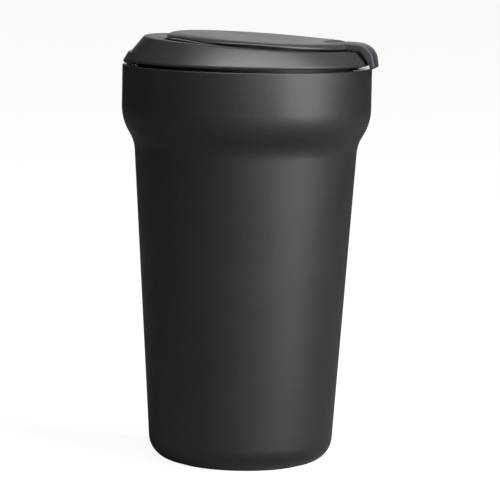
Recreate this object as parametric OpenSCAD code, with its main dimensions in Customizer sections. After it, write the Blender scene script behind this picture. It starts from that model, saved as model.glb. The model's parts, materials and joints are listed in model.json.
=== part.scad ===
// Insulated travel mug: double-wall steel cup, screw lid, and a flip cover with a hooked finger tab.
// Origin: the middle of the foot's resting face. +Z is up, +X points at the finger tab.
// Plug, seal and neck share one axis; the lid's deck slopes down towards the tab.

/* [Cup] */
// Outer radius of the collar
collar_r = 45; // [44.5:0.1:46]
// Height of the cup's top edge above the table
cup_top = 143.8; // [143.4:0.1:144.2]
// Height where the collar's vertical band starts
collar_low = 129.1; // [127:0.1:130]
// Outer radius of the tapered wall, extended down to the foot plane
wall_r = 32.84; // [32:0.01:33.5]
// Taper of the wall from vertical, in degrees
wall_taper = 3.7; // [3.5:0.1:3.9]
// Thickness of the outer steel shell
shell_t = 0.8; // [0.6:0.1:1]
// Thickness of the inner steel liner
liner_t = 0.6; // [0.5:0.1:0.7]
// Vacuum gap between the shell and the liner along the wall
vacuum_gap = 3.2; // [2.5:0.1:3.4]

/* [Thread] */
// Inner radius of the neck around the lid's thread
neck_r = 40.6; // [40.5:0.1:40.8]
// Axial travel of the lid in one full turn
thread_lead = 12; // [12:1:12]
// Number of thread starts
thread_starts = 3; // [3:1:3]

/* [Lid] */
// Height of the lid's lower edge
lid_low = 144.87; // [144.8:0.01:145]
// Radius the lid's cone would have at its lower edge without the rounding
lid_r = 44.9; // [44.5:0.1:45.2]
// Slope of the cone's side: radius lost per unit of height
cone_slope = 0.825; // [0.8:0.005:0.85]
// Height of the sloping deck's rim over the mug's axis
deck_z = 151.7; // [151.5:0.1:152]
// Tilt of the deck in degrees, down towards the tab
deck_tilt = 3.12; // [2.9:0.01:3.3]

/* [Cover] */
// Outer radius of the flip cover
cover_r = 35.1; // [34.9:0.1:35.2]
// Height of the cover's raised crown above the deck's rim plane
crown_top = 2.6; // [2.3:0.1:2.8]
// Width of the finger tab
tab_w = 14; // [12:0.5:16]

/* [Hidden] */
$fn = 96;
eps = 0.01;
far = 120;

// Cup outline
foot_z = 0.5;
foot_fillet = 9;
foot_hole_r = 21;
flare = 30.2;
concave_r = 13.56;
convex_r = 18.45;
edge_round = 0.4;
lip_t = 0.5;
lip_r = collar_r - shell_t - eps;

// Liner heights and radii
wall_gap = shell_t + vacuum_gap + liner_t;
liner_floor = 7.5;
liner_fillet = 12;
shoulder_z = 113;
seat_r = 38.3;
seat_low = 126.5;
seat_top = 131;
neck_low = 132.6;

// Foot pieces
pad_r = 24.2;
pad_flange_t = 0.42;
pad_chamfer = 0.2;
pad_plug_r = 20.5;
pad_plug_top = 1.1;
plate_z = foot_z + shell_t;
plate_r = 23.4;
plate_t = 0.8;
dimple_r = 5;
dimple_h = 1.4;
seal_hole_r = 1;
glass_r = 3;
glass_t = 0.6;
getter_x = 13;
getter_r = 5;
getter_hole_r = 2;
getter_t = 1.5;
foil_low = 22;
foil_top = 112;
foil_gap = 0.3;
foil_t = 0.2;
adhesive_hole_r = 9;

// Thread ridges: section, spans and heights
ridge_root_w = 2;
ridge_crest_w = 1;
ridge_embed = 0.35;
ridge_step = 7.5;
neck_crest_r = 39;
neck_ridge_z = 137.2;
neck_ridge_span = 112.5;
plug_ridge_span = 97.5;
plug_ridge_z = neck_ridge_z - 1.6;
plug_crest_r = 40;

// Plug
plug_r = 38.2;
plug_low_r = 36.6;
plug_step = 133.4;
plug_low = 128;
plug_wall = 2;
plug_floor_low = 136.5;
plug_floor_top = 138.5;
bead_r = 37.4;
bead_h = 0.8;
flange_r = 41;
flange_low = lid_low + 0.08;
flange_top = flange_low + 1.4;
seal_gap = 0.05;
seal_r = seat_r - 0.1;
seal_root_r = 37.5;
fin_z = [129.6, 131];
fin_t = 0.4;
fin_root_t = 0.9;
tube_h = 9;

// Lid shell, in the deck's own frame
base_round = 0.72;
cone_angle = atan(cone_slope);
skin_t = 2;
rim_x = 1.76;
rim_r = 39.2;
rim_top = 0.5;
rim_round = 0.9;
ring_low = -0.3;
pocket_r = cover_r + 0.4;
pocket_floor = -3.4;
slab_t = 1.4;
pocket_wall = 1.8;
hollow_drop = 2.2;
mouth_inset = 0.5;
cone_h = 12;
wedge_half = 20;
wedge_root_r = 40;
wedge_low = 144;
wedge_foot_r = 43.6;
wedge_tip = [44.25, 145];
wedge_tip_r = 0.5;
wedge_top = [43.05, 148];
wedge_top_r = 0.3;
gasket_t = 0.8;
spout_x = 24.5;
spout_r = 7;
vent_x = -13;
vent_r = 1.5;
tube_t = 1.6;

// Cover
cover_low = -3;
skin_top = 1.7;
skirt_t = 1.8;
crown_x = 4.3;
crown_r = 33.1;
crown_round = 2.2;
undercut_x = 2;
undercut_tilt = 1.3;
undercut_depth = 0.9;
nose_top = 153.2;
nose_r = crown_r - 0.4;
cover_round = 0.4;
scoop_r = 30;
scoop_depth = 1.2;
scoop_x = 31.5;
base_t = 1.4;
base_gap = 0.15;

// Finger tab, in its side view
tab_root_x = 30;
tab_flat_x = 36;
tab_shoulder = [39.2, 144];
tab_shoulder_r = 9;
tab_bend = [40.3, 146.45];
tab_bend_r = 6.3;
tab_turn = 65.5;
tab_lean = 9;
tab_tip = [46.04, 145.07];
tab_tip_r = 0.87;
tab_inner_bend = [40.7, 149.35];
tab_inner_r = 1.35;
tab_inner_lean = 32;

// Stopper, vent pad and their holes in the cover's base
stem_r = 3;
vent_stem_r = 1.5;
stopper_pad_r = spout_r + 1.4;
vent_pad_r = 3.6;
stopper_low = pocket_floor - 1.8;
stopper_taper = 0.65;
hole_clearance = 0.45;
pad_clearance = 0.08;
stem_clearance = 0.05;
barb_h = 0.9;

// Hinge of the cover
hinge_x = -31.75;
hinge_z = -1.2;
barrel_r = 2.8;
barrel_half = 8.1;
relief_r = 2.9;
relief_half = 8.4;
lug_r = 3;
lug_half = 18.2;
swing_r = 3.12;
swing_half = 18.4;
notch_x = -29.13;
pin_r = 0.75;
bore_r = 0.8;
pin_half = 11.2;
hollow_x = -27.4;

// Points of an arc in the plane, from angle a0 to a1
function arc(cx, cy, r, a0, a1, n = 8) =
    [for (i = [0 : n]) let (a = a0 + (a1 - a0) * i / n) [cx + r * cos(a), cy + r * sin(a)]];
function reversed(list) = [for (i = [len(list) - 1 : -1 : 0]) list[i]];

// Radius of the tapered wall at a height, moved inwards by t along its normal
function wall_at(z, t) = wall_r + (z - foot_z) * tan(wall_taper) - t / cos(wall_taper);
// Fillet of radius r between a flat floor at z and the wall moved inwards by t
function floor_arc(z, r, t) =
    arc(wall_at(z + r, t) - r / cos(wall_taper), z + r, r, -90, -wall_taper);

// Centre of the concave arc that joins the wall to the flare below the collar
flare_from = [collar_r - convex_r + convex_r * cos(flare), collar_low - convex_r * sin(flare)];
wall_reach = concave_r + wall_r * cos(wall_taper) - foot_z * sin(wall_taper);
flare_reach = concave_r + flare_from[0] * cos(flare) - flare_from[1] * sin(flare);
concave_c = [
    (sin(wall_taper) * flare_reach - sin(flare) * wall_reach) / sin(wall_taper - flare),
    (cos(wall_taper) * flare_reach - cos(flare) * wall_reach) / sin(wall_taper - flare)
];

// Side of the cup from the foot up to height top, moved inwards by t
function cup_side(t, top) = concat(
    floor_arc(foot_z + t, foot_fillet - t, t),
    arc(concave_c[0], concave_c[1], concave_r + t, 180 - wall_taper, 180 - flare),
    arc(collar_r - convex_r, collar_low, convex_r - t, -flare, 0),
    [[collar_r - t, top]]
);

// Side of the liner, t outside its inner surface, up to height top
function liner_side(t, top) = concat(
    [[0, liner_floor - t]],
    floor_arc(liner_floor - t, liner_fillet + t, wall_gap - t),
    [
        [wall_at(shoulder_z, wall_gap - t), shoulder_z],
        [seat_r + t, seat_low],
        [seat_r + t, seat_top],
        [neck_r + t, neck_low],
        [neck_r + t, top]
    ]
);

// One helical ridge on a wall of radius root_r, rising anticlockwise; its ends run out into the wall
module helical_ridge(root_r, crest_r, z, span) {
    inward = crest_r < root_r ? 1 : -1;
    buried = root_r + inward * ridge_embed;
    run_out = root_r + inward * ridge_embed / 2;
    n = span / ridge_step;
    rings = [for (i = [0 : n])
        let (
            a = i * ridge_step,
            zc = z + thread_lead * a / 360,
            ramp = min(1, min(i, n - i) / 2),
            crest = run_out + (crest_r - run_out) * ramp
        )
        for (p = [
            [buried, -ridge_root_w / 2], [crest, -ridge_crest_w / 2],
            [crest, ridge_crest_w / 2], [buried, ridge_root_w / 2]
        ]) [p[0] * cos(a), p[0] * sin(a), zc + p[1]]
    ];
    sides = [for (i = [0 : n - 1], k = [0 : 3])
        let (a = 4 * i + k, b = 4 * i + (k + 1) % 4)
        for (t = [[a, b, b + 4], [a, b + 4, a + 4]]) t];
    caps = concat([[3, 2, 1], [3, 1, 0]], [for (t = [[0, 1, 2], [0, 2, 3]]) [for (k = t) 4 * n + k]]);
    polyhedron(
        points = rings,
        faces = [for (f = concat(sides, caps)) inward > 0 ? reversed(f) : f],
        convexity = 4
    );
}

module thread(root_r, crest_r, z, span)
    for (k = [0 : thread_starts - 1])
        rotate(k * 360 / thread_starts) helical_ridge(root_r, crest_r, z, span);

// Puts its children in the frame of the sloping deck, whose rim plane is z = 0
module deck() translate([0, 0, deck_z]) rotate([0, deck_tilt, 0]) children();

// A disc about the deck's own circle centre
module deck_disc(r, low, top, x = rim_x) translate([x, 0, low]) cylinder(r = r, h = top - low);

// A cylinder along the cover's hinge axis, in the deck's frame
module hinge_rod(r, half)
    translate([hinge_x, 0, hinge_z]) rotate([90, 0, 0]) cylinder(r = r, h = 2 * half, center = true);

module ring(r_in, r_out, h) difference() {
    cylinder(r = r_out, h = h);
    translate([0, 0, -1]) cylinder(r = r_in, h = h + 2);
}

module outer_shell() color("#2a2a2d")
    rotate_extrude() polygon(concat(
        [[foot_hole_r, foot_z]],
        cup_side(0, cup_top - edge_round),
        arc(collar_r - edge_round, cup_top - edge_round, edge_round, 15, 90, 5),
        reversed(cup_side(shell_t, cup_top)),
        [[foot_hole_r, foot_z + shell_t]]
    ));

module inner_liner() color("#c8cbce") union() {
    rotate_extrude() polygon(concat(
        liner_side(0, cup_top - lip_t),
        [[neck_r + lip_t, cup_top], [lip_r, cup_top], [lip_r, cup_top - lip_t]],
        reversed(liner_side(liner_t, cup_top - lip_t))
    ));
    thread(neck_r, neck_crest_r, neck_ridge_z, neck_ridge_span);
}

module base_plate() color("#b9bcc0")
    rotate_extrude() polygon([
        [seal_hole_r, plate_z + dimple_h], [dimple_r, plate_z + dimple_h],
        [dimple_r + dimple_h, plate_z], [plate_r, plate_z],
        [plate_r, plate_z + plate_t], [dimple_r + dimple_h + plate_t / 2, plate_z + plate_t],
        [dimple_r + plate_t / 2, plate_z + dimple_h + plate_t],
        [seal_hole_r, plate_z + dimple_h + plate_t]
    ]);

module seal_bead() color("#6d7276")
    translate([0, 0, plate_z + dimple_h - glass_t]) union() {
        cylinder(r = glass_r, h = glass_t);
        cylinder(r = seal_hole_r - 2 * eps, h = 2 * glass_t);
    }

module getter() color("#8d8f93")
    translate([getter_x, 0, plate_z + plate_t]) ring(getter_hole_r, getter_r, getter_t);

module reflective_foil() color("#c77d4f")
    rotate_extrude() polygon([
        for (p = [[foil_low, 0], [foil_top, 0], [foil_top, foil_t], [foil_low, foil_t]])
            [wall_at(p[0], wall_gap - liner_t - foil_gap - p[1]), p[0]]
    ]);

module foot_pad() color("#1b1b1d") rotate_extrude() polygon([
    [0, 0], [pad_r - pad_chamfer, 0], [pad_r, pad_chamfer], [pad_r, pad_flange_t],
    [pad_plug_r, pad_flange_t], [pad_plug_r, pad_plug_top], [0, pad_plug_top]
]);

module pad_adhesive() color("#d8d4c8")
    translate([0, 0, pad_plug_top]) ring(adhesive_hole_r, pad_plug_r - 1, plate_z - pad_plug_top);

// Silicone ring in the plug's groove, with two sealing fins
module lid_seal() color("#3a3b3e") rotate_extrude() polygon(concat(
    [[plug_low_r + seal_gap, plug_low + bead_h + seal_gap], [seal_root_r, plug_low + bead_h + seal_gap]],
    [for (z = fin_z) for (p = [[seal_r, z], [seal_r, z + fin_t], [seal_root_r, z + fin_root_t]]) p],
    [[seal_root_r, plug_step - seal_gap], [plug_low_r + seal_gap, plug_step - seal_gap]]
));

// Solid outside of the lid's cone, without its sloping top
module lid_cone() rotate_extrude() polygon(concat(
    [[0, lid_low]],
    arc(lid_r - base_round * (1 + sin(cone_angle)) * cone_slope - base_round * cos(cone_angle),
        lid_low + base_round, base_round, -90, cone_angle),
    [[lid_r - cone_slope * cone_h, lid_low + cone_h], [0, lid_low + cone_h]]
));

// Small unlocking wedge at the cone's foot, opposite the tab
module lid_wedge() rotate(180 - wedge_half) rotate_extrude(angle = 2 * wedge_half) polygon(concat(
    [[wedge_root_r, wedge_low], [wedge_foot_r, wedge_low]],
    arc(wedge_tip[0], wedge_tip[1], wedge_tip_r, -40, 30, 4),
    arc(wedge_top[0] - wedge_top_r, wedge_top[1], wedge_top_r, 30, 90, 2),
    [[wedge_root_r, wedge_top[1] + wedge_top_r]]
));

// Rounded rim disc of the deck
module rim_disc() translate([rim_x, 0, 0]) rotate_extrude() polygon(concat(
    [[0, -1], [rim_r, -1]],
    arc(rim_r - rim_round, rim_top - rim_round, rim_round, 0, 90, 6),
    [[0, rim_top]]
));

// Space inside the cone's skin, under the rim and around the pocket
module lid_hollow() difference() {
    rotate_extrude() polygon([
        [0, lid_low - 1],
        [lid_r + cone_slope - skin_t / cos(cone_angle), lid_low - 1],
        [lid_r - cone_slope * cone_h - skin_t / cos(cone_angle), lid_low + cone_h],
        [0, lid_low + cone_h]
    ]);
    deck() translate([-far / 2, -far / 2, rim_top - hollow_drop]) cube([far, far, far]);
    deck() deck_disc(pocket_r + pocket_wall, pocket_floor - slab_t, far);
}

// Solid left of the cover's hinge axis, with a nose that is round about the axis
module hinge_nose(half) {
    hinge_rod(lug_r, half);
    translate([hinge_x - 10, -half, pocket_floor - 1]) cube([10, 2 * half, 20]);
}

// Pocket that holds the flip cover, with a hinge lug left standing on each side of the relief
module lid_pocket() deck() {
    difference() {
        deck_disc(pocket_r, pocket_floor, 10);
        difference() {
            hinge_nose(lug_half);
            hinge_nose(relief_half);
        }
    }
    hinge_rod(relief_r, relief_half);
}

module lid_shell() color("#3c3c40") difference() {
    union() {
        difference() {
            union() {
                difference() {
                    lid_cone();
                    deck() translate([-far / 2, -far / 2, ring_low]) cube([far, far, far]);
                }
                deck() rim_disc();
                lid_wedge();
            }
            lid_hollow();
        }
        for (t = [[spout_x, spout_r], [vent_x, vent_r]])
            translate([t[0], 0, plug_floor_top + gasket_t]) cylinder(r = t[1] + tube_t, h = tube_h);
    }
    lid_pocket();
    for (t = [[spout_x, spout_r], [vent_x, vent_r]])
        translate([t[0], 0, plug_floor_top]) cylinder(r = t[1], h = far);
    deck() hinge_rod(pin_r, pin_half);
}

module lid_plug() color("#333438") difference() {
    union() {
        rotate_extrude() polygon([
            [plug_low_r - plug_wall, plug_low], [plug_low_r, plug_low],
            [bead_r, plug_low + bead_h / 2], [bead_r, plug_low + bead_h],
            [plug_low_r, plug_low + bead_h], [plug_low_r, plug_step],
            [plug_r, plug_step], [plug_r, flange_low],
            [flange_r, flange_low], [flange_r, flange_top],
            [plug_r - plug_wall, flange_top], [plug_r - plug_wall, plug_floor_top],
            [0, plug_floor_top], [0, plug_floor_low],
            [plug_low_r - plug_wall, plug_floor_low]
        ]);
        thread(plug_r, plug_crest_r, plug_ridge_z, plug_ridge_span);
    }
    deck() deck_disc(pocket_r + pocket_wall + base_gap, pocket_floor - slab_t - base_gap, 20);
    translate([spout_x, 0, plug_floor_low - 1]) cylinder(r = spout_r - mouth_inset, h = plug_floor_top - plug_floor_low + 2);
    translate([vent_x, 0, plug_floor_low - 1]) cylinder(r = vent_r, h = plug_floor_top - plug_floor_low + 2);
}

module spout_gasket() color("#4a4b4f")
    translate([spout_x, 0, plug_floor_top]) ring(spout_r + 0.2, spout_r + tube_t, gasket_t);

module vent_gasket() color("#4a4b4f")
    translate([vent_x, 0, plug_floor_top]) ring(vent_r + 0.1, vent_r + tube_t, gasket_t);

// Outline of the cover's side: a flat-bottomed disc with a rounded top edge
module rounded_disc(x, r, low, top, round_r) translate([x, 0, 0]) rotate_extrude() polygon(concat(
    [[0, low], [r, low]], arc(r - round_r, top - round_r, round_r, 0, 90), [[0, top]]
));

// Side view of the finger tab: along the top, over the bend and down outside the cone
module tab_side() polygon(concat(
    [[tab_root_x, tab_inner_bend[1] + tab_inner_r], [tab_root_x, nose_top], [tab_flat_x, nose_top]],
    arc(tab_shoulder[0], tab_shoulder[1], tab_shoulder_r, 87, tab_turn + 4, 4),
    arc(tab_bend[0], tab_bend[1], tab_bend_r, tab_turn, tab_lean),
    arc(tab_tip[0], tab_tip[1], tab_tip_r, tab_lean, tab_inner_lean - 180),
    arc(tab_inner_bend[0], tab_inner_bend[1], tab_inner_r, tab_inner_lean, 90, 5)
));

// Raised crown of the cover; its edge stands off the rim more and more towards the tab
module crown() difference() {
    rounded_disc(crown_x, crown_r, cover_low + 1, crown_top, crown_round);
    difference() {
        translate([undercut_x, 0, rim_top]) rotate([0, -undercut_tilt, 0])
            translate([-far / 2, -far / 2, -far]) cube([far, far, far]);
        deck_disc(crown_r - undercut_depth, -far, far, crown_x);
    }
}

module cover_outside() difference() {
    union() {
        deck() rounded_disc(rim_x, cover_r, cover_low, rim_top, cover_round);
        deck() crown();
        rounded_disc(crown_x, nose_r, nose_top - crown_round, nose_top, crown_round);
        translate([0, tab_w / 2, 0]) rotate([90, 0, 0]) linear_extrude(tab_w) tab_side();
    }
    translate([scoop_x, 0, nose_top + scoop_r - scoop_depth]) sphere(r = scoop_r);
    deck() difference() {
        union() {
            hinge_rod(swing_r, swing_half);
            translate([notch_x - far, -far / 2, -far / 2]) cube([far, far, far]);
        }
        translate([hinge_x, -barrel_half, -far / 2]) cube([far, 2 * barrel_half, far]);
    }
}

// Space under the cover's skin, in the deck's frame
module cover_hollow() difference() {
    union() {
        deck_disc(cover_r - skirt_t, cover_low - 1, rim_top - skin_top);
        deck_disc(crown_r - crown_round, cover_low - 1, crown_top - skin_top, crown_x);
    }
    translate([hollow_x - far, -far / 2, -far / 2]) cube([far, far, far]);
}

module cover_shell() color("#46464b") difference() {
    union() {
        difference() {
            cover_outside();
            deck() cover_hollow();
        }
        deck() intersection() {
            hinge_rod(barrel_r, barrel_half);
            translate([-far / 2, -far / 2, rim_top - far]) cube([far, far, far]);
        }
    }
    deck() hinge_rod(bore_r, barrel_half + 1);
}

module cover_base() color("#303034") deck() difference() {
    deck_disc(cover_r - skirt_t - base_gap, cover_low, cover_low + base_t);
    translate([hollow_x + base_gap - far, -far / 2, -far / 2]) cube([far, far, far]);
    translate([spout_x, 0, -far / 2]) cylinder(r = stem_r, h = far);
    translate([vent_x, 0, -far / 2]) cylinder(r = vent_stem_r, h = far);
}

// A silicone pad under the cover's base, held by a barbed stem through it, in the deck's frame
module button(x, pad_r, hole_r) translate([x, 0, 0]) {
    translate([0, 0, pocket_floor + pad_clearance])
        cylinder(r = pad_r, h = cover_low - pocket_floor - pad_clearance);
    translate([0, 0, cover_low - eps]) cylinder(r = hole_r - stem_clearance, h = base_t + 2 * eps);
    translate([0, 0, cover_low + base_t])
        cylinder(r1 = hole_r + barb_h, r2 = hole_r - barb_h / 2, h = barb_h);
}

module spout_stopper() color("#55565b") deck() union() {
    button(spout_x, stopper_pad_r, stem_r);
    translate([spout_x, 0, stopper_low]) cylinder(
        r1 = spout_r - hole_clearance - stopper_taper, r2 = spout_r - hole_clearance,
        h = pocket_floor + pad_clearance + eps - stopper_low
    );
}

module vent_pad() color("#55565b") deck() button(vent_x, vent_pad_r, vent_stem_r);

module hinge_pin() color("#d0d2d4") deck() hinge_rod(pin_r, pin_half);

outer_shell();
inner_liner();
base_plate();
seal_bead();
getter();
reflective_foil();
foot_pad();
pad_adhesive();
lid_seal();
lid_shell();
lid_plug();
spout_gasket();
vent_gasket();
cover_shell();
cover_base();
spout_stopper();
vent_pad();
hinge_pin();
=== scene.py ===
import json
import math

import bmesh
import bpy
import numpy as np
from mathutils import Matrix, Vector


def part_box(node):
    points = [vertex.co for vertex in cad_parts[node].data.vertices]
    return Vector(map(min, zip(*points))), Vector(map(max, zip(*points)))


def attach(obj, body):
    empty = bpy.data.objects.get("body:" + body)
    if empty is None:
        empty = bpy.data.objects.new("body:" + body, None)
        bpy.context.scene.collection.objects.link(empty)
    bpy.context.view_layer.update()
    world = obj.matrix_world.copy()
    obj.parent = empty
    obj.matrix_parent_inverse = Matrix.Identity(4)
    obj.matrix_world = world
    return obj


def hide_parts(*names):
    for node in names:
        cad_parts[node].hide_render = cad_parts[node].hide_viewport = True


# The looks of an insulated travel mug. Four pieces are built anew around the CAD: the outer shell, the inner
# liner, the lid's shell and the flip cover. The other CAD nodes are kept and get a material each.
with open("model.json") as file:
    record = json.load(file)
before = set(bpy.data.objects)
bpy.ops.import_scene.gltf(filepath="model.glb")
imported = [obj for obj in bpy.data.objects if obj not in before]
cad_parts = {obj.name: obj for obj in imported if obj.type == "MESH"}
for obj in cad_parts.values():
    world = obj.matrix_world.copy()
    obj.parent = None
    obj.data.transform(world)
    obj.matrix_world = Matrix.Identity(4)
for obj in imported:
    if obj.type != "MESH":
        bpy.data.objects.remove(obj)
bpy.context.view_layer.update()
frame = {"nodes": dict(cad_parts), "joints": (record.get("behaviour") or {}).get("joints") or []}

# ---------------------------------------------------------------- sizes, in metres, from the frame
MM = 0.001
HAIR = 0.01 * MM
SHELL_LOW, SHELL_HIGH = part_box("outer_shell")
LINER_LOW, LINER_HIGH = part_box("inner_liner")
COLLAR_R = SHELL_HIGH.x
FOOT_Z = SHELL_LOW.z
CUP_TOP = LINER_HIGH.z

# Cup outline: a tapered wall, a flare between two arcs, and a straight collar
COLLAR_LOW = CUP_TOP - 14.7 * MM
WALL_R = 32.84 * MM
TAPER = math.radians(3.7)
FLARE = math.radians(30.2)
CONCAVE_R = 13.56 * MM
CONVEX_R = 18.45 * MM
FOOT_FILLET = 9 * MM
FOOT_HOLE_R = 21 * MM
SHELL_T = 0.8 * MM
LINER_T = 0.6 * MM
WALL_GAP = 4.6 * MM
EDGE_ROUND = 0.4 * MM
LIP_T = 0.5 * MM
LIP_R = COLLAR_R - SHELL_T - HAIR

# Liner: the cup's inside, a seat for the lid's seal, and a neck with rolled thread ridges
LINER_FLOOR = LINER_LOW.z + LINER_T
LINER_FILLET = 12 * MM
SHOULDER_Z = 113 * MM
SHOULDER_ROUND = 3 * MM
SEAT_R = 38.3 * MM
SEAT_LOW = 126.5 * MM
SEAT_TOP = 131 * MM
SEAT_LOW_ROUND = 1 * MM
SEAT_TOP_ROUND = 0.6 * MM
NECK_R = 40.6 * MM
NECK_LOW = 132.6 * MM
NECK_ROUND = 0.4 * MM
NECK_START = 0.5 * MM
NECK_END = 1.0 * MM
NECK_RING_STEP = 0.3 * MM
MOUTH_ROUND = 0.9 * MM
THREAD_LEAD = 12 * MM
THREAD_STARTS = 3
RIDGE_Z = 137.2 * MM
RIDGE_SPAN = math.radians(112.5)
RIDGE_RUNOUT = math.radians(12)
RIDGE_FLANK = 0.85 * MM
RIDGE_CREST = 0.35
RIDGE_H = 1.5 * MM

# Lid: a cone cut off by a sloping deck plane, with a pocket for the cover; levels count from the deck
LID_LOW = CUP_TOP + 1.07 * MM
LID_R = 44.9 * MM
CONE_SLOPE = 0.825
BASE_ROUND = 0.72 * MM
DECK_Z = 151.7 * MM
DECK_TILT = math.radians(3.12)
LID_SKIN = 2.59 * MM
RIM_X = 1.76 * MM
RIM_TOP = 0.5 * MM
RIM_ROUND = 1.1 * MM
HOLLOW_DROP = 2.2 * MM
POCKET_R = 35.5 * MM
POCKET_EDGE_ROUND = 0.35 * MM
POCKET_FLOOR = -3.4 * MM
POCKET_FLOOR_ROUND = 0.6 * MM
SLAB_T = 1.4 * MM
POCKET_WALL = 1.8 * MM
SPOUT_X = 24.5 * MM
SPOUT_R = 7 * MM
VENT_X = -13 * MM
VENT_R = 1.5 * MM
TUBE_T = 1.6 * MM
TUBE_LOW = 139.3 * MM
TUBE_SINK = 0.5 * MM
TUBE_BORE_HALF = 12 * MM

# Cover: a round crown over a wider brim, with a skirt and a hollow below
COVER_R = 35.1 * MM
COVER_LOW = -3 * MM
COVER_EDGE = 0.2 * MM
SKIRT_T = 1.8 * MM
SKIRT_ROOF = -1.2 * MM
HOLLOW_ROOF = 0.4 * MM
HOLLOW_WALL = 2 * MM
CROWN_X = 4.15 * MM
CROWN_R = 33.25 * MM
CROWN_TOP = 2.68 * MM
CROWN_ROUND = 2.0 * MM
CROWN_SPREAD = 4.5 * MM
CROWN_SPREAD_LOSS = 0.33
NOSE_TOP = 1.5 * MM
NOSE_BLEND = 0.25 * MM

# Gap between the crown's wall and the brim, widest in the middle and closed at the hinge
UNDERCUT = 0.9 * MM
UNDERCUT_DEPTH = 5 * MM
UNDERCUT_START = (-24 * MM, 16 * MM)
UNDERCUT_LEAST = 0.02
UNDERCUT_END = (4 * MM, 26 * MM)
UNDERCUT_END_LOSS = 0.45
CURL = 0.12 * MM
CURL_GROWTH = 0.35 * MM

# Brim: it stands proud along its hinge half, outside the lugs, where its skirt steps back below it
BRIM_STEP = 0.62 * MM
BRIM_FADE = (-18 * MM, 0)
BRIM_START = (18.5 * MM, 22 * MM)
BRIM_RECESS = 1.0 * MM
BRIM_ROUND = 0.4 * MM
BRIM_ROUND_LOSS = 0.25 * MM
BRIM_EDGE = 0.15 * MM

# Finger tab and the scoop behind it
TAB_W = 14 * MM
TAB_CORNER = 0.55
TAB_TIP_NARROWING = 0.8
SCOOP_CENTRE = (31.6 * MM, 0, 155 * MM)
SCOOP_RADII = (5 * MM, 15 * MM, 3.2 * MM)

# Hinge: one barrel on the cover between two lugs on the lid, about a steel pin
BARREL_R = 2.8 * MM
BARREL_HALF = 8.1 * MM
RELIEF_R = 2.9 * MM
RELIEF_HALF = 8.4 * MM
LUG_R = 3 * MM
LUG_HALF = 18.2 * MM
LUG_STEP = 13.0 * MM
LUG_BACK = -33.6 * MM
LUG_OUTER_BACK = -31.6 * MM
LUG_OVERLAP = 0.1 * MM
LUG_SINK = 0.5 * MM
SWING_R = 3.12 * MM
SWING_HALF = 18.4 * MM
NOTCH_X = -29.13 * MM
PIN_R = 0.75 * MM
PIN_HALF = 11.2 * MM
PIN_END_GAP = 0.1 * MM
BORE_R = 0.8 * MM
BORE_HALF = 12 * MM

VIEW_AZIMUTH = 9
MID_HEIGHT = 0.08

DECK = Matrix.Translation((0, 0, DECK_Z)) @ Matrix.Rotation(DECK_TILT, 4, "Y")
JOINTS = {j["name"]: j for j in frame["joints"]}
HINGE_X, _, HINGE_Z = DECK.inverted() @ Vector(JOINTS["cover_flip"]["pos_m"])


# ---------------------------------------------------------------- mesh building
def arc(cx, cy, r, a0, a1, n):
    """Points of an arc in the (radius, height) plane, angles in radians."""
    return [(cx + r * math.cos(a), cy + r * math.sin(a)) for a in np.linspace(a0, a1, n + 1)]


def smooth_step(x, low, high):
    """0 below low, 1 above high, and a smooth rise between them."""
    t = np.clip((x - low) / (high - low), 0, 1)
    return t * t * (3 - 2 * t)


def full_turn(n):
    """The angles of n equal steps round a circle."""
    return np.linspace(0, 2 * np.pi, n, endpoint=False)


def add_object(name, bm):
    """Puts a finished bmesh into the scene as an object."""
    mesh = bpy.data.meshes.new(name)
    bm.to_mesh(mesh)
    bm.free()
    obj = bpy.data.objects.new(name, mesh)
    bpy.context.scene.collection.objects.link(obj)
    return obj


def new_object(name, verts, faces):
    """An object from points and faces, without doubled points or loose edges."""
    draft = bpy.data.meshes.new("draft")
    draft.from_pydata([tuple(v) for v in verts], [], [tuple(f) for f in faces])
    bm = bmesh.new()
    bm.from_mesh(draft)
    bpy.data.meshes.remove(draft)
    bmesh.ops.remove_doubles(bm, verts=bm.verts, dist=1e-7)
    bmesh.ops.delete(bm, geom=[e for e in bm.edges if not e.link_faces], context="EDGES")
    bmesh.ops.recalc_face_normals(bm, faces=bm.faces)
    return add_object(name, bm)


def loft(name, rings, capped=False):
    """A solid through rings of points: the last ring joins the first, or both are capped with a flat face."""
    rings = np.asarray(rings, float)
    m, n = rings.shape[:2]
    faces = []
    for i in range(m - 1 if capped else m):
        a, b = i * n, ((i + 1) % m) * n
        for k in range(n):
            faces.append((a + k, a + (k + 1) % n, b + (k + 1) % n, b + k))
    if capped:
        faces.append(tuple(range(n)))
        faces.append(tuple(range((m - 1) * n, m * n)))
    return new_object(name, rings.reshape(-1, 3), faces)


def fillet(before, corner, after, radius, steps):
    """Rounds a corner of a section; the points are arrays of (radius, height), one row per angle."""
    u = before - corner
    v = after - corner
    u = u / np.linalg.norm(u, axis=1, keepdims=True)
    v = v / np.linalg.norm(v, axis=1, keepdims=True)
    half = np.arccos(np.clip((u * v).sum(1), -1, 1))[:, None] / 2
    centre = corner + (u + v) / np.linalg.norm(u + v, axis=1, keepdims=True) * radius / np.sin(half)
    start = corner + u * radius / np.tan(half) - centre
    end = corner + v * radius / np.tan(half) - centre
    turn = np.pi - 2 * half
    points = []
    for t in np.linspace(0, 1, steps + 1):
        points.append(centre + (np.sin((1 - t) * turn) * start + np.sin(t * turn) * end) / np.sin(turn))
    return points


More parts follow.
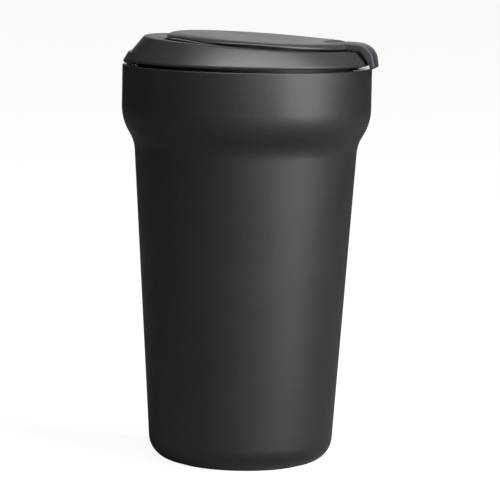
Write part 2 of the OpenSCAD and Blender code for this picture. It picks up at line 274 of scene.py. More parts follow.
def section_rings(corners, angles):
    """Rings of a closed section: each corner is (radius, height, rounding[, steps]), plain or per angle."""
    n = len(angles)
    flat = []
    for c in corners:
        radius = np.broadcast_to(np.asarray(c[0], float), (n,))
        height = np.broadcast_to(np.asarray(c[1], float), (n,))
        flat.append(np.stack([radius, height], axis=1))
    rings = []
    for i, c in enumerate(corners):
        if c[2] > 0:
            steps = c[3] if len(c) > 3 else 4
            rings += fillet(flat[i - 1], flat[i], flat[(i + 1) % len(flat)], c[2], steps)
        else:
            rings.append(flat[i])
    cos, sin = np.cos(angles), np.sin(angles)
    return [np.stack([p[:, 0] * cos, p[:, 0] * sin, p[:, 1]], axis=1) for p in rings]


def revolve(name, corners, n):
    """A closed section turned about the mug's axis in n steps."""
    return loft(name, section_rings(corners, full_turn(n)))


def boolean(obj, tool, operation):
    """Cuts or joins obj with tool, then deletes the tool."""
    mod = obj.modifiers.new("boolean", "BOOLEAN")
    mod.object = tool
    mod.operation = operation
    mod.solver = "MANIFOLD"
    bpy.context.view_layer.update()
    result = obj.evaluated_get(bpy.context.evaluated_depsgraph_get())
    mesh = bpy.data.meshes.new_from_object(result)
    obj.modifiers.clear()
    obj.data = mesh
    bpy.data.objects.remove(tool)


def rod(r, half, centre, axis="Z", n=64):
    """A cylinder along one axis, about a centre point, as a cutting or joining tool."""
    turn = {"Z": Matrix.Identity(4), "Y": Matrix.Rotation(math.pi / 2, 4, "X")}[axis]
    obj = revolve("rod", [(r, -half, 0), (r, half, 0), (0, half, 0), (0, -half, 0)], n)
    obj.data.transform(Matrix.Translation(centre) @ turn)
    return obj


def prism(profile, y0, y1):
    """A flat outline in (x, z), drawn out from y0 to y1."""
    bm = bmesh.new()
    face = bm.faces.new([bm.verts.new((x, y0, z)) for x, z in profile])
    moved = bmesh.ops.extrude_face_region(bm, geom=[face])["geom"]
    far = [v for v in moved if isinstance(v, bmesh.types.BMVert)]
    bmesh.ops.translate(bm, verts=far, vec=(0, y1 - y0, 0))
    bmesh.ops.recalc_face_normals(bm, faces=bm.faces)
    return add_object("prism", bm)


def in_deck(obj):
    """Moves a mesh drawn in the sloping deck's own frame to its place."""
    obj.data.transform(DECK)
    return obj


def shade(obj, angle=32):
    """Smooth shading, broken at edges sharper than an angle in degrees."""
    obj.data.shade_smooth()
    obj.data.set_sharp_from_angle(angle=math.radians(angle))
    return obj


def clean(obj):
    """Merges the slivers that the booleans leave."""
    bm = bmesh.new()
    bm.from_mesh(obj.data)
    bmesh.ops.remove_doubles(bm, verts=bm.verts, dist=2e-6)
    bmesh.ops.dissolve_degenerate(bm, edges=bm.edges, dist=1e-7)
    bmesh.ops.recalc_face_normals(bm, faces=bm.faces)
    bm.to_mesh(obj.data)
    bm.free()


# ---------------------------------------------------------------- materials
def node_material(name):
    """A new node material, its tree and its surface shader."""
    material = bpy.data.materials.new(name)
    material.use_nodes = True
    tree = material.node_tree
    return material, tree, tree.nodes["Principled BSDF"]


def noise(tree, coords, scale, detail):
    """Procedural noise; the scale is in cells per metre."""
    node = tree.nodes.new("ShaderNodeTexNoise")
    node.inputs["Scale"].default_value = scale
    node.inputs["Detail"].default_value = detail
    tree.links.new(coords, node.inputs["Vector"])
    return node.outputs["Fac"]


def ranged(tree, value, low, high):
    """Maps a noise value, mostly 0.3 to 0.7, to the range low to high."""
    node = tree.nodes.new("ShaderNodeMapRange")
    node.inputs["From Min"].default_value = 0.3
    node.inputs["From Max"].default_value = 0.7
    node.inputs["To Min"].default_value = low
    node.inputs["To Max"].default_value = high
    tree.links.new(value, node.inputs["Value"])
    return node.outputs["Result"]


def mix_colour(tree, factor, dark, light):
    """A colour between dark and light."""
    node = tree.nodes.new("ShaderNodeMix")
    node.data_type = "RGBA"
    node.inputs["A"].default_value = (*dark, 1)
    node.inputs["B"].default_value = (*light, 1)
    tree.links.new(factor, node.inputs["Factor"])
    return node.outputs["Result"]


def bump(tree, height, strength, distance):
    """A surface normal tilted by a height pattern, as deep as distance."""
    node = tree.nodes.new("ShaderNodeBump")
    node.inputs["Strength"].default_value = strength
    node.inputs["Distance"].default_value = distance
    tree.links.new(height, node.inputs["Height"])
    return node.outputs["Normal"]


def object_coords(tree):
    return tree.nodes.new("ShaderNodeTexCoord").outputs["Object"]


def coated(name, dark, light, rough, grain, grain_depth):
    """A matt coating or moulded plastic: grainy surface, slight colour drift, uneven gloss."""
    material, tree, shader = node_material(name)
    coords = object_coords(tree)
    fine = noise(tree, coords, grain, 2.0)
    broad = noise(tree, coords, 60, 3.0)
    tree.links.new(mix_colour(tree, ranged(tree, fine, 0, 1), dark, light), shader.inputs["Base Color"])
    tree.links.new(ranged(tree, broad, rough[0], rough[1]), shader.inputs["Roughness"])
    tree.links.new(bump(tree, fine, 1.0, grain_depth), shader.inputs["Normal"])
    return material


def steel(name, colour, rough, stretch=(1, 1, 30)):
    """Bare metal with fine polishing lines that run round the axis."""
    material, tree, shader = node_material(name)
    coords = object_coords(tree)
    scaled = tree.nodes.new("ShaderNodeMapping")
    scaled.inputs["Scale"].default_value = stretch
    tree.links.new(coords, scaled.inputs["Vector"])
    lines = noise(tree, scaled.outputs["Vector"], 250, 4.0)
    shader.inputs["Metallic"].default_value = 1.0
    light = tuple(min(1, c * 1.08) for c in colour)
    tree.links.new(mix_colour(tree, lines, colour, light), shader.inputs["Base Color"])
    tree.links.new(ranged(tree, lines, rough[0], rough[1]), shader.inputs["Roughness"])
    tree.links.new(bump(tree, lines, 0.25, 0.02 * MM), shader.inputs["Normal"])
    return material


def silicone(name, dark, light):
    """Matt rubber with a soft bloom."""
    material, tree, shader = node_material(name)
    coords = object_coords(tree)
    mottled = noise(tree, coords, 900, 4.0)
    tree.links.new(mix_colour(tree, mottled, dark, light), shader.inputs["Base Color"])
    tree.links.new(ranged(tree, mottled, 0.62, 0.78), shader.inputs["Roughness"])
    shader.inputs["Sheen Weight"].default_value = 0.15
    tree.links.new(bump(tree, mottled, 0.6, 0.03 * MM), shader.inputs["Normal"])
    return material


POWDER_COAT = coated(
    "powder_coat", (0.005, 0.005, 0.006), (0.012, 0.012, 0.0135), (0.40, 0.50), 2600, 0.045 * MM
)
LID_PLASTIC = coated(
    "lid_plastic", (0.017, 0.017, 0.019), (0.021, 0.021, 0.023), (0.38, 0.46), 4200, 0.012 * MM
)
COVER_PLASTIC = coated(
    "cover_plastic", (0.024, 0.023, 0.026), (0.028, 0.027, 0.031), (0.34, 0.42), 4200, 0.010 * MM
)
PLUG_PLASTIC = coated(
    "plug_plastic", (0.022, 0.022, 0.024), (0.028, 0.028, 0.031), (0.42, 0.52), 3200, 0.015 * MM
)
POLISHED_STEEL = steel("polished_steel", (0.62, 0.62, 0.63), (0.10, 0.2))
SATIN_STEEL = steel("satin_steel", (0.55, 0.55, 0.56), (0.22, 0.36))
GETTER_METAL = coated("getter_metal", (0.12, 0.12, 0.12), (0.2, 0.2, 0.2), (0.6, 0.75), 5200, 0.05 * MM)
COPPER_FOIL = steel("copper_foil", (0.72, 0.35, 0.22), (0.18, 0.32), (1, 1, 1))
SEAL_GLASS = coated("seal_glass", (0.07, 0.08, 0.075), (0.1, 0.11, 0.105), (0.08, 0.16), 700, 0.02 * MM)
ADHESIVE = coated("adhesive_film", (0.55, 0.52, 0.42), (0.65, 0.62, 0.52), (0.3, 0.45), 1500, 0.02 * MM)
DARK_SILICONE = silicone("dark_silicone", (0.010, 0.010, 0.011), (0.016, 0.016, 0.017))
SEAL_SILICONE = silicone("seal_silicone", (0.045, 0.045, 0.048), (0.06, 0.06, 0.063))


def paint(obj, material):
    """Gives a piece its one material."""
    obj.data.materials.clear()
    obj.data.materials.append(material)


def stand_for(obj, node, body, material):
    """A finished piece takes the place of a CAD node on its body, with one material."""
    paint(obj, material)
    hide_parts(node)
    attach(obj, body)


# ---------------------------------------------------------------- cup
def wall_at(z, inset):
    """Radius of the tapered wall at a height, moved inwards by inset."""
    return WALL_R + (z - FOOT_Z) * math.tan(TAPER) - inset / math.cos(TAPER)


def floor_arc(z, r, inset, n):
    """Arc of radius r from a floor at height z up to the tapered wall."""
    return arc(wall_at(z + r, inset) - r / math.cos(TAPER), z + r, r, -math.pi / 2, -TAPER, n)


def shoulder_centre():
    """Centre of the concave arc between the tapered wall and the flare below the collar."""
    flare_r = COLLAR_R - CONVEX_R + CONVEX_R * math.cos(FLARE)
    flare_z = COLLAR_LOW - CONVEX_R * math.sin(FLARE)
    wall_reach = CONCAVE_R + WALL_R * math.cos(TAPER) - FOOT_Z * math.sin(TAPER)
    flare_reach = CONCAVE_R + flare_r * math.cos(FLARE) - flare_z * math.sin(FLARE)
    det = math.sin(TAPER - FLARE)
    return (
        (math.sin(TAPER) * flare_reach - math.sin(FLARE) * wall_reach) / det,
        (math.cos(TAPER) * flare_reach - math.cos(FLARE) * wall_reach) / det,
    )


def cup_side(inset, top):
    """The cup's side from the foot up, moved inwards by inset."""
    cx, cz = shoulder_centre()
    lower = floor_arc(FOOT_Z + inset, FOOT_FILLET - inset, inset, 20)
    straight = [(wall_at(z, inset), z) for z in np.linspace(lower[-1][1], cz, 14)[1:-1]
                if z < cz + (CONCAVE_R + inset) * math.sin(TAPER) - 2 * MM]
    concave = arc(cx, cz, CONCAVE_R + inset, math.pi - TAPER, math.pi - FLARE, 16)
    convex = arc(COLLAR_R - CONVEX_R, COLLAR_LOW, CONVEX_R - inset, -FLARE, 0, 16)
    return lower + straight + concave + convex + [(COLLAR_R - inset, top)]


def build_outer_shell():
    """The coated steel cup, open at the top and with a round hole for the base plate."""
    outside = cup_side(0, CUP_TOP - EDGE_ROUND)
    outside += arc(COLLAR_R - EDGE_ROUND, CUP_TOP - EDGE_ROUND, EDGE_ROUND, 0, math.pi / 2, 6)[1:]
    inside = cup_side(SHELL_T, CUP_TOP)
    loop = [(FOOT_HOLE_R, FOOT_Z)] + outside + inside[::-1] + [(FOOT_HOLE_R, FOOT_Z + SHELL_T)]
    obj = revolve("cup_outer_shell", [(r, z, 0) for r, z in loop], 320)
    stand_for(shade(obj), "outer_shell", "cup", POWDER_COAT)


def ridge_height(angle, z):
    """Height of the rolled thread at an angle and height in the neck."""
    best = np.zeros_like(angle)
    for k in range(THREAD_STARTS):
        local = np.mod(angle - 2 * math.pi * k / THREAD_STARTS, 2 * math.pi)
        along = np.clip(np.minimum(local, RIDGE_SPAN - local) / RIDGE_RUNOUT, 0, 1)
        centre = RIDGE_Z + THREAD_LEAD * local / (2 * math.pi)
        across = smooth_step(1 + RIDGE_CREST - np.abs(z - centre) / RIDGE_FLANK, 0, 1)
        best = np.maximum(best, across * np.sin(along * math.pi / 2))
    return RIDGE_H * best


def build_inner_liner():
    """The polished inside of the cup, with its lip over the shell and the thread rolled into its neck."""
    angles = full_turn(288)
    neck_heights = np.arange(NECK_LOW + NECK_START, CUP_TOP - NECK_END, NECK_RING_STEP)
    neck = [(NECK_R, z, 0) for z in neck_heights]
    outer_gap = WALL_GAP - LINER_T
    outer_floor = LINER_FLOOR - LINER_T
    bottom = [(r, z, 0) for r, z in floor_arc(LINER_FLOOR, LINER_FILLET, WALL_GAP, 14)]
    outer_bottom = [(r, z, 0) for r, z in floor_arc(outer_floor, LINER_FILLET + LINER_T, outer_gap, 14)]
    inside = [
        (wall_at(SHOULDER_Z, WALL_GAP), SHOULDER_Z, SHOULDER_ROUND),
        (SEAT_R, SEAT_LOW, SEAT_LOW_ROUND),
        (SEAT_R, SEAT_TOP, SEAT_TOP_ROUND),
        (NECK_R, NECK_LOW, NECK_ROUND),
    ]
    lip = [
        (NECK_R, CUP_TOP, MOUTH_ROUND, 8),
        (LIP_R, CUP_TOP, 0),
        (LIP_R, CUP_TOP - LIP_T, 0),
        (NECK_R + LINER_T, CUP_TOP - LIP_T, 0),
    ]
    outside = [
        (NECK_R + LINER_T, NECK_LOW, NECK_ROUND),
        (SEAT_R + LINER_T, SEAT_TOP, SEAT_TOP_ROUND),
        (SEAT_R + LINER_T, SEAT_LOW, SEAT_LOW_ROUND),
        (wall_at(SHOULDER_Z, outer_gap), SHOULDER_Z, SHOULDER_ROUND),
    ]
    corners = [(0, LINER_FLOOR, 0)] + bottom + inside + neck + lip + outside
    corners += outer_bottom[::-1] + [(0, outer_floor, 0)]
    rings = section_rings(corners, angles)
    for ring in rings:
        radius = np.hypot(ring[:, 0], ring[:, 1])
        if abs(radius[0] - NECK_R) < 1e-6:
            scale = 1 - ridge_height(angles, ring[:, 2]) / NECK_R
            ring[:, 0] *= scale
            ring[:, 1] *= scale
    obj = loft("cup_inner_liner", rings)
    stand_for(shade(obj, 40), "inner_liner", "cup", POLISHED_STEEL)


# ---------------------------------------------------------------- lid
def deck_height(angle, radius, level):
    """Height of the sloping deck plane at a level above the rim plane."""
    return DECK_Z + level / math.cos(DECK_TILT) - radius * np.cos(angle) * math.tan(DECK_TILT)


def off_centre_radius(angle, centre_x, r):
    """Distance from the mug's axis to a circle about (centre_x, 0)."""
    return centre_x * np.cos(angle) + np.sqrt(r ** 2 - (centre_x * np.sin(angle)) ** 2)


def cone_radius(angle, level, inset=0.0):
    """Radius where the cone's side, moved inwards by inset, meets a plane parallel to the deck."""
    start = LID_R - inset - CONE_SLOPE * (DECK_Z + level / math.cos(DECK_TILT) - LID_LOW)
    return start / (1 - CONE_SLOPE * math.tan(DECK_TILT) * np.cos(angle))


def pocket_radius(angle, level, extra=0.0):
    """Radius of the cover's pocket, widened by extra, at a level above the deck."""
    shift = RIM_X * math.cos(DECK_TILT) + level * math.sin(DECK_TILT)
    return off_centre_radius(angle, shift, POCKET_R + extra)


def hinge_arc(r, top, low):
    """Points of a circle about the hinge axis, on its right side, from level top down to level low."""
    a0 = math.asin((top - HINGE_Z) / r)
    a1 = math.asin(max(-1, (low - HINGE_Z) / r))
    return arc(HINGE_X, HINGE_Z, r, a0, a1, 16)


def lid_section(a):
    """Corners of the lid shell's section at each angle: cone, rim, pocket, and the hollow below."""
    hollow_top = RIM_TOP - HOLLOW_DROP
    slab_low = POCKET_FLOOR - SLAB_T
    rim_edge = cone_radius(a, RIM_TOP)
    mouth = pocket_radius(a, RIM_TOP)
    foot = pocket_radius(a, POCKET_FLOOR)
    wall_top = pocket_radius(a, hollow_top, POCKET_WALL)
    wall_foot = pocket_radius(a, slab_low, POCKET_WALL)
    inner_edge = cone_radius(a, hollow_top, LID_SKIN)
    return [
        (LID_R, LID_LOW, BASE_ROUND, 6),
        (rim_edge, deck_height(a, rim_edge, RIM_TOP), RIM_ROUND, 6),
        (mouth, deck_height(a, mouth, RIM_TOP), POCKET_EDGE_ROUND, 4),
        (foot, deck_height(a, foot, POCKET_FLOOR), POCKET_FLOOR_ROUND, 4),
        (0, deck_height(a, 0, POCKET_FLOOR), 0),
        (0, deck_height(a, 0, slab_low), 0),
        (wall_foot, deck_height(a, wall_foot, slab_low), 0),
        (wall_top, deck_height(a, wall_top, hollow_top), 0),
        (inner_edge, deck_height(a, inner_edge, hollow_top), 0),
        (LID_R - LID_SKIN, LID_LOW, 0),
    ]


def join_lugs(obj):
    """Two lugs for the pin, each of two blocks whose backs stay inside the round rim."""
    nose = hinge_arc(LUG_R, RIM_TOP, POCKET_FLOOR - LUG_SINK)
    blocks = ((RELIEF_HALF, LUG_STEP, LUG_BACK), (LUG_STEP - LUG_OVERLAP, LUG_HALF, LUG_OUTER_BACK))
    for inner, outer, back in blocks:
        outline = [(back, nose[-1][1]), (back, nose[0][1])] + nose
        for y0, y1 in ((inner, outer), (-outer, -inner)):
            boolean(obj, in_deck(prism(outline, y0, y1)), "UNION")


def join_tubes(obj):
    """The drink and vent holes, each through a tube that hangs below the pocket's floor."""
    for x, r in ((SPOUT_X, SPOUT_R), (VENT_X, VENT_R)):
        top = DECK_Z + POCKET_FLOOR - x * math.tan(DECK_TILT) - TUBE_SINK
        tube = rod(r + TUBE_T, (top - TUBE_LOW) / 2, (x, 0, (top + TUBE_LOW) / 2), n=96)
        boolean(obj, tube, "UNION")
        boolean(obj, rod(r, TUBE_BORE_HALF, (x, 0, TUBE_LOW), n=96), "DIFFERENCE")


def build_wedge():
    """The small unlocking wedge at the cone's foot, opposite the tab, fading out at both ends."""
    half = math.radians(20)
    fade = 0.12
    sink = 0.35
    low, high = 144, 148.6
    tip = arc(44.25, 145, 0.5, math.radians(-40), math.pi / 6, 6)
    brow = arc(42.75, 148, 0.3, math.pi / 6, math.pi / 2, 4)
    side = [(41.9, low), (43.45, low), (43.6, low + 0.05)] + tip + brow + [(41.2, high)]
    rings = []
    for t in np.linspace(-1, 1, 41):
        angle = math.pi + half * t
        stand = min(1, (1 - abs(t)) / fade) ** 0.5
        ring = []
        for r, z in side:
            flush = LID_R / MM - CONE_SLOPE * (z - LID_LOW / MM) - sink
            radius = flush + (r - flush) * (stand if r > flush else 1)
            ring.append((radius * MM * math.cos(angle), radius * MM * math.sin(angle), z * MM))
        rings.append(ring)
    return loft("wedge", rings, capped=True)


def build_lid_shell():
    """The lid's visible cone and pocket, with the hinge lugs, the two tubes and the wedge."""
    a = full_turn(360)
    obj = loft("lid_shell_skin", section_rings(lid_section(a), a))
    join_lugs(obj)
    join_tubes(obj)
    hinge = (HINGE_X, 0, HINGE_Z)
    boolean(obj, in_deck(rod(RELIEF_R, RELIEF_HALF, hinge, "Y")), "DIFFERENCE")
    pin_hole = rod(PIN_R + HAIR, PIN_HALF + PIN_END_GAP, hinge, "Y", 32)
    boolean(obj, in_deck(pin_hole), "DIFFERENCE")
    boolean(obj, build_wedge(), "UNION")
    clean(obj)
    stand_for(shade(obj), "lid_shell", "lid", LID_PLASTIC)


# ---------------------------------------------------------------- cover
def cover_top(x):
    """Level of the cover's top above the deck: parallel to the deck, then level towards the tab."""
    nose = NOSE_TOP + x * math.tan(DECK_TILT)
    return (CROWN_TOP + nose + np.sqrt((CROWN_TOP - nose) ** 2 + NOSE_BLEND ** 2)) / 2


def build_cover_body():
    """Crown, brim and skirt of the flip cover as one closed shell, drawn in the deck's frame."""
    a = full_turn(384)
    cos, sin = np.cos(a), np.sin(a)
    x_edge = CROWN_X + CROWN_R * cos
    rightward = UNDERCUT_LEAST + (1 - UNDERCUT_LEAST) * smooth_step(x_edge, *UNDERCUT_START)
    raised = 1 - smooth_step(x_edge, *BRIM_FADE)
    raised = raised * smooth_step(abs(COVER_R * sin), *BRIM_START)
    brim_top = RIM_TOP + BRIM_STEP * raised
    undercut = UNDERCUT * rightward * (1 - UNDERCUT_END_LOSS * smooth_step(x_edge, *UNDERCUT_END))
    wall_low = np.maximum(RIM_TOP + undercut, brim_top) + 3 * HAIR
    curl = CURL + CURL_GROWTH * rightward
    rings = []

    def ring(centre_x, r, level):
        rings.append(np.stack([centre_x + r * cos, r * sin, np.broadcast_to(level, a.shape)], axis=1))

    spread = CROWN_SPREAD * (1 - CROWN_SPREAD_LOSS * rightward)
    flat_r = CROWN_R - spread
    for r in np.linspace(0, flat_r, 40):
        ring(CROWN_X, r, cover_top(CROWN_X + r * cos))
    shoulder = np.maximum(cover_top(x_edge) - CROWN_ROUND, wall_low + curl)
    height = cover_top(CROWN_X + flat_r * cos) - shoulder
    for t in np.linspace(0, math.pi / 2, 18)[1:]:
        ring(CROWN_X, flat_r + spread * math.sin(t), shoulder + height * math.cos(t))
    for t in np.linspace(0, math.pi / 2, 7):
        ring(CROWN_X, CROWN_R - curl * (1 - math.cos(t)), wall_low + curl * (1 - math.sin(t)))
    column = CROWN_R - curl - UNDERCUT_DEPTH * rightward
    ring(CROWN_X, column, wall_low)
    ring(CROWN_X, column, brim_top)
    lip = BRIM_ROUND - BRIM_ROUND_LOSS * raised
    edge_r = COVER_R - lip
    skirt_r = COVER_R - BRIM_RECESS * raised - 2 * HAIR
    x_column, y_column = CROWN_X + column * cos, column * sin
    for t in (0.35, 0.7, 1.0):
        x = x_column + (RIM_X + edge_r * cos - x_column) * t
        y = y_column + (edge_r * sin - y_column) * t
        rings.append(np.stack([x, y, brim_top], axis=1))
    for t in np.linspace(0, math.pi / 2, 5)[1:]:
        ring(RIM_X, edge_r + lip * math.sin(t), brim_top - lip + lip * math.cos(t))
    brim_low = brim_top - lip - BRIM_EDGE
    ring(RIM_X, COVER_R - HAIR, brim_low)
    ring(RIM_X, skirt_r, brim_low - 5 * HAIR)
    ring(RIM_X, skirt_r, COVER_LOW + COVER_EDGE)
    ring(RIM_X, skirt_r - COVER_EDGE, COVER_LOW)
    ring(RIM_X, COVER_R - SKIRT_T, COVER_LOW)
    ring(RIM_X, COVER_R - SKIRT_T, SKIRT_ROOF)
    hollow_r = CROWN_R - UNDERCUT_DEPTH - HOLLOW_WALL
    ring(CROWN_X, hollow_r, SKIRT_ROOF)
    ring(CROWN_X, hollow_r, HOLLOW_ROOF)
    ring(CROWN_X, 0, HOLLOW_ROOF)
    return loft("cover_body", rings)


def tab_stations():
    """Pairs of outer and inner points down the tab's side view, in millimetres, from the root to the tip."""
    top, under = 153.2, 150.7
    outer = [(x, top) for x in (30, 32, 34, 36)] + [(38, 153.12)]
    outer += arc(39.2, 144, 9, math.radians(86), math.radians(69), 4)
    outer += arc(40.3, 146.45, 6.3, math.radians(65.5), math.radians(9), 14)
    outer += [(46.62, 146.7), (46.74, 145.95), (46.84, 145.21)]
    inner = [(x, under) for x in (30, 32, 34, 36, 38, 38.6, 39.1, 39.6, 40.1, 40.5)]
    bend = arc(40.7, 149.35, 1.35, math.radians(90), math.radians(32), 8)
    inner += bend
    (x0, z0), (x1, z1) = bend[-1], (45.3, 144.61)
    spare = len(outer) - len(inner)
    for k in range(1, spare + 1):
        inner.append((x0 + (x1 - x0) * k / spare, z0 + (z1 - z0) * k / spare))
    return list(zip(outer, inner))


def rounded_section(outer, inner, half_w):
    """A rounded rectangle, 2 half_w wide in y, between an outer and an inner point of the side view."""
    thick = math.dist(outer, inner)
    c = min(TAB_CORNER, thick * 0.45)
    ux, uz = (outer[0] - inner[0]) / thick, (outer[1] - inner[1]) / thick
    points = []
    for quarter, (sy, far_side) in enumerate(((1, 1), (-1, 1), (-1, 0), (1, 0))):
        for k in range(5):
            t = math.radians(90 * quarter + 22.5 * k)
            y = sy * (half_w - c) + c * math.cos(t)
            d = far_side * thick + (1 - 2 * far_side) * c + c * math.sin(t)
            points.append(((inner[0] + ux * d) * MM, y * MM, (inner[1] + uz * d) * MM))
    return points


def build_tab():
    """Finger tab: a rounded bar swept over the bend, with a rounded tip."""
    half_w = TAB_W / MM / 2
    stations = tab_stations()
    rings = [rounded_section(outer, inner, half_w) for outer, inner in stations]
    (ox, oz), (ix, iz) = stations[-1]
    middle = Vector(((ox + ix) / 2, (oz + iz) / 2))
    across = Vector(((ox - ix) / 2, (oz - iz) / 2))
    down = Vector((across.y, -across.x))
    for t in np.linspace(0, math.radians(84), 8)[1:]:
        centre = middle + down * math.sin(t)
        reach = across * math.cos(t)
        width = half_w - TAB_TIP_NARROWING * (1 - math.cos(t))
        rings.append(rounded_section(tuple(centre + reach), tuple(centre - reach), width))
    return loft("tab", rings, capped=True)


def build_scoop():
    """Cutter for the finger scoop between the crown and the tab."""
    bm = bmesh.new()
    bmesh.ops.create_uvsphere(bm, u_segments=96, v_segments=48, radius=1)
    bm.transform(Matrix.Translation(SCOOP_CENTRE) @ Matrix.Diagonal((*SCOOP_RADII, 1)))
    return add_object("scoop", bm)


def cut_hinge_notch(obj):
    """Clears the cover's edge for the lugs' swing, and cuts it straight over the barrel."""
    deep = 20 * MM
    far = -3 * deep
    reach = math.acos((NOTCH_X - HINGE_X) / SWING_R)
    swing = arc(HINGE_X, HINGE_Z, SWING_R, reach, -reach, 12)
    notch = [(far, -deep), (far, deep), (NOTCH_X, deep)] + swing + [(NOTCH_X, -deep)]
    for y0, y1 in ((BARREL_HALF, SWING_HALF), (-SWING_HALF, -BARREL_HALF)):
        boolean(obj, in_deck(prism(notch, y0, y1)), "DIFFERENCE")
    edge = [(far, -deep), (far, deep), (HINGE_X, deep), (HINGE_X, -deep)]
    boolean(obj, in_deck(prism(edge, -BARREL_HALF - MM, BARREL_HALF + MM)), "DIFFERENCE")


def join_barrel(obj):
    """The hinge barrel with its bore, cut flat just below the rim's level."""
    side = math.asin((RIM_TOP - HAIR - HINGE_Z) / BARREL_R)
    barrel = arc(HINGE_X, HINGE_Z, BARREL_R, math.pi - side, 2 * math.pi + side, 48)
    boolean(obj, in_deck(prism(barrel, -BARREL_HALF, BARREL_HALF)), "UNION")
    boolean(obj, in_deck(rod(BORE_R, BORE_HALF, (HINGE_X, 0, HINGE_Z), "Y", 32)), "DIFFERENCE")


def build_cover_shell():
    """The flip cover: its body, the finger tab, the scoop behind the tab and the hinge."""
    obj = in_deck(build_cover_body())
    boolean(obj, build_tab(), "UNION")
    boolean(obj, build_scoop(), "DIFFERENCE")
    cut_hinge_notch(obj)
    join_barrel(obj)
    clean(obj)
    obj.name = "cover_shell_skin"
    stand_for(shade(obj), "cover_shell", "cover", COVER_PLASTIC)


# ---------------------------------------------------------------- carried-over CAD nodes
def keep_node(name, material, bevel):
    """A CAD node whose shape is right keeps it, with a fine edge rounding where bevel is given, and its own
    material.
    """
    obj = frame["nodes"][name]
    paint(obj, material)
    if bevel:
        mod = obj.modifiers.new("edges", "BEVEL")
        mod.width = bevel
        mod.segments = 2
        mod.limit_method = "ANGLE"
        mod.angle_limit = math.radians(40)
    shade(obj, 30)


KEPT_NODES = (
    ("base_plate", SATIN_STEEL, 0),
    ("seal_bead", SEAL_GLASS, 0),
    ("getter", GETTER_METAL, 0.15 * MM),
    ("reflective_foil", COPPER_FOIL, 0),
    ("foot_pad", DARK_SILICONE, 0),
    ("pad_adhesive", ADHESIVE, 0),
    ("lid_seal", SEAL_SILICONE, 0),
    ("lid_plug", PLUG_PLASTIC, 0),
    ("spout_gasket", SEAL_SILICONE, 0.1 * MM),
    ("vent_gasket", SEAL_SILICONE, 0.1 * MM),
    ("cover_base", PLUG_PLASTIC, 0.2 * MM),
    ("spout_stopper", SEAL_SILICONE, 0.15 * MM),
    ("vent_pad", SEAL_SILICONE, 0.12 * MM),
    ("hinge_pin", POLISHED_STEEL, 0.1 * MM),
)


# ---------------------------------------------------------------- studio
def area_light(name, place, target, width, height, power, colour=(1, 1, 1)):
    """A rectangular softbox that faces a target and stays out of the picture."""
    data = bpy.data.lights.new(name, "AREA")
    data.shape = "RECTANGLE"
    data.size = width
    data.size_y = height
    data.energy = power
    data.color = colour
    obj = bpy.data.objects.new(name, data)
    obj.location = place
    obj.rotation_euler = (Vector(target) - Vector(place)).to_track_quat("-Z", "Y").to_euler()
    obj.visible_camera = False
    bpy.context.scene.collection.objects.link(obj)
    return obj


def build_floor():
    """Pale paper floor: almost white to the camera but for a trace of contact shadow, and matt to the mug."""
    half = 6.0
    low = -2 * HAIR
    corners = [(-half, -half, low), (half, -half, low), (half, half, low), (-half, half, low)]
    obj = new_object("floor", corners, [(0, 1, 2, 3)])
    material, tree, shader = node_material("floor_paper")
    seen = tree.nodes.new("ShaderNodeLightPath").outputs["Is Camera Ray"]
    grain = noise(tree, object_coords(tree), 400, 4.0)
    paper = mix_colour(tree, grain, (0.52, 0.52, 0.53), (0.56, 0.56, 0.57))
    dim = tree.nodes.new("ShaderNodeMix")
    dim.data_type = "RGBA"
    dim.inputs["A"].default_value = (0.6, 0.6, 0.61, 1)
    tree.links.new(paper, dim.inputs["B"])
    tree.links.new(seen, dim.inputs["Factor"])
    tree.links.new(dim.outputs["Result"], shader.inputs["Base Color"])
    shader.inputs["Roughness"].default_value = 0.9
    shader.inputs["Specular IOR Level"].default_value = 0.1
    glow = tree.nodes.new("ShaderNodeMath")
    glow.operation = "MULTIPLY"
    glow.inputs[1].default_value = 0.93
    tree.links.new(seen, glow.inputs[0])
    shader.inputs["Emission Color"].default_value = (1, 1, 1, 1)
    tree.links.new(glow.outputs[0], shader.inputs["Emission Strength"])
    obj.data.materials.append(material)
    return obj


def build_world():
    """White to the camera, dim to the mug, so that its dark sides stay dark."""
    world = bpy.data.worlds.new("studio")
    bpy.context.scene.world = world
    world.use_nodes = True
    tree = world.node_tree
    background = tree.nodes["Background"]
    path = tree.nodes.new("ShaderNodeLightPath")
    strength = tree.nodes.new("ShaderNodeMapRange")
    strength.inputs["To Min"].default_value = 0.02
    strength.inputs["To Max"].default_value = 1.0
    tree.links.new(path.outputs["Is Camera Ray"], strength.inputs["Value"])
    tree.links.new(strength.outputs["Result"], background.inputs["Strength"])
    background.inputs["Color"].default_value = (1, 1, 1, 1)


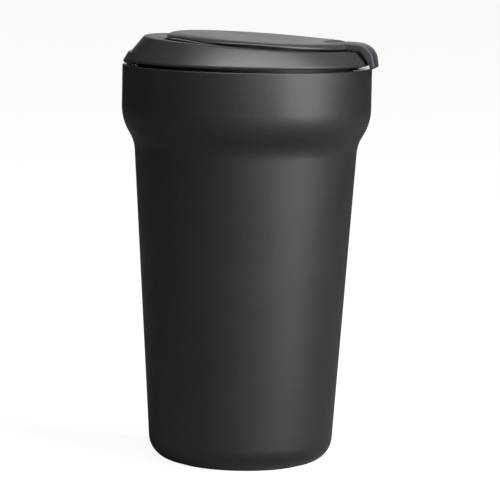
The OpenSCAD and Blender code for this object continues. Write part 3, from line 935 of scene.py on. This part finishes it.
def from_camera(turn, elevation, distance, height=MID_HEIGHT):
    """A place round to the right of the camera by turn and up by elevation, in degrees."""
    a = math.radians(VIEW_AZIMUTH + turn)
    e = math.radians(elevation)
    out = distance * math.cos(e)
    return Vector((out * math.sin(a), -out * math.cos(a), height + distance * math.sin(e)))


def build_lights(floor):
    """A tall softbox to the right, a weak one near the camera, a wide one overhead and a glow behind."""
    lid_height = 0.15
    centre = Vector((0, 0, MID_HEIGHT))
    lid = Vector((0, 0, lid_height))
    above = from_camera(8, 62, 1.1, lid_height)
    area_light("key_right", from_camera(54.5, 8, 1.3), centre, 1.03, 1.6, 41, (0.98, 0.98, 1.0))
    area_light("front_fill", from_camera(10, 8, 1.3), centre, 0.35, 1.6, 4.5)
    overhead = area_light("overhead", above, lid, 1.65, 0.35, 26, (0.96, 0.98, 1.0))
    backdrop = area_light("backdrop", from_camera(180, 16, 1.4), centre, 0.8, 0.9, 1.8)
    shaded = bpy.data.collections.new("flagged_off")
    shaded.objects.link(floor)
    shaded.collection_objects[0].light_linking.link_state = "EXCLUDE"
    for light in (overhead, backdrop):
        light.light_linking.receiver_collection = shaded


def build_camera():
    """A long lens a little above the mug, turned so that the tab comes slightly forward."""
    distance = 1.2
    elevation = 6.525
    roll = math.radians(1.082)
    yaw = math.radians(0.107)
    target = Vector((0, 0, 76.96 * MM))
    data = bpy.data.cameras.new("camera")
    data.sensor_width = 36
    data.lens = 238.2
    camera = bpy.data.objects.new("camera", data)
    camera.location = from_camera(0, elevation, distance, target.z)
    look = (target - camera.location).to_track_quat("-Z", "Y").to_matrix().to_4x4()
    turned = look @ Matrix.Rotation(-yaw, 4, "Y") @ Matrix.Rotation(roll, 4, "Z")
    camera.rotation_euler = turned.to_euler()
    bpy.context.scene.collection.objects.link(camera)
    bpy.context.scene.camera = camera


build_outer_shell()
build_inner_liner()
build_lid_shell()
build_cover_shell()
for node, look, edge in KEPT_NODES:
    keep_node(node, look, edge)

build_world()
build_camera()
build_lights(build_floor())
bpy.context.scene.view_settings.view_transform = "Standard"
